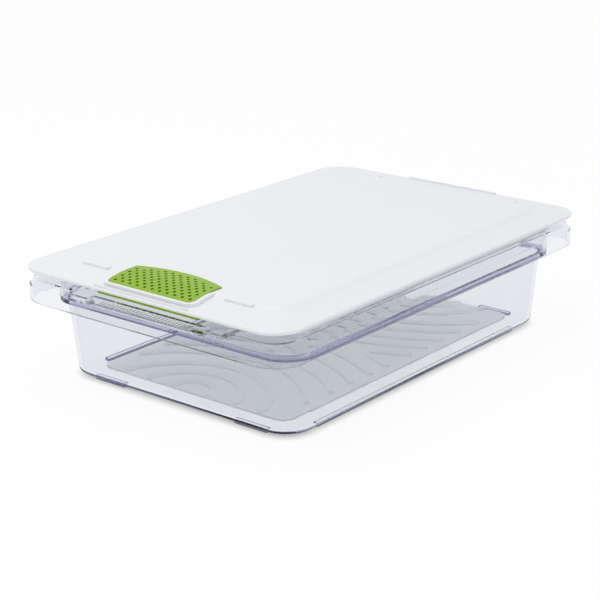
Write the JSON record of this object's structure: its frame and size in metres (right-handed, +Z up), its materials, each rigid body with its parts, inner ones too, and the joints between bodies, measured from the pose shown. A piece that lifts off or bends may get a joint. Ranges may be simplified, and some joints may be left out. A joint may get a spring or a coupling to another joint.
{
  "type": "produce_storage_container",
  "caption": "Shallow rectangular food box with a clear stepped tub, finger grips, a white lift-off lid with a perforated vent, and a rippled tray inside.",
  "frame": {"origin": "centre of the bottom of the tub's feet", "axes": "+Z up, X along the long sides with the vent at -X, Y along the short sides"},
  "size_m": [0.4572, 0.3048, 0.1154],
  "materials": {
    "clear_plastic": "clear with smooth faces, violet grey in its thick edges",
    "white_plastic": "white with a fine satin grain",
    "green_plastic": "leaf green with a satin finish",
    "filter_sheet": "thin dark open mesh",
    "clear_tray": "clear with smooth rounded ripples"
  },
  "bodies": {
    "tub": {"tub": "clear_plastic"},
    "lid": {"lid": "white_plastic", "vent_base": "green_plastic"},
    "vent_cover": {"vent_cover": "green_plastic", "vent_filter": "filter_sheet"},
    "crisp_tray": {"crisp_tray": "clear_tray"}
  },
  "joints": [
    {"name": "lid_lift", "type": "slide", "parent": "tub", "child": "lid", "axis": [0, 0, 1], "range_m": [0, 0.08]},
    {"name": "vent_lift", "type": "slide", "parent": "lid", "child": "vent_cover", "axis": [0, 0, 1], "range_m": [0, 0.025]},
    {"name": "tray_lift", "type": "slide", "parent": "tub", "child": "crisp_tray", "axis": [0, 0, 1], "range_m": [0, 0.075]}
  ]
}
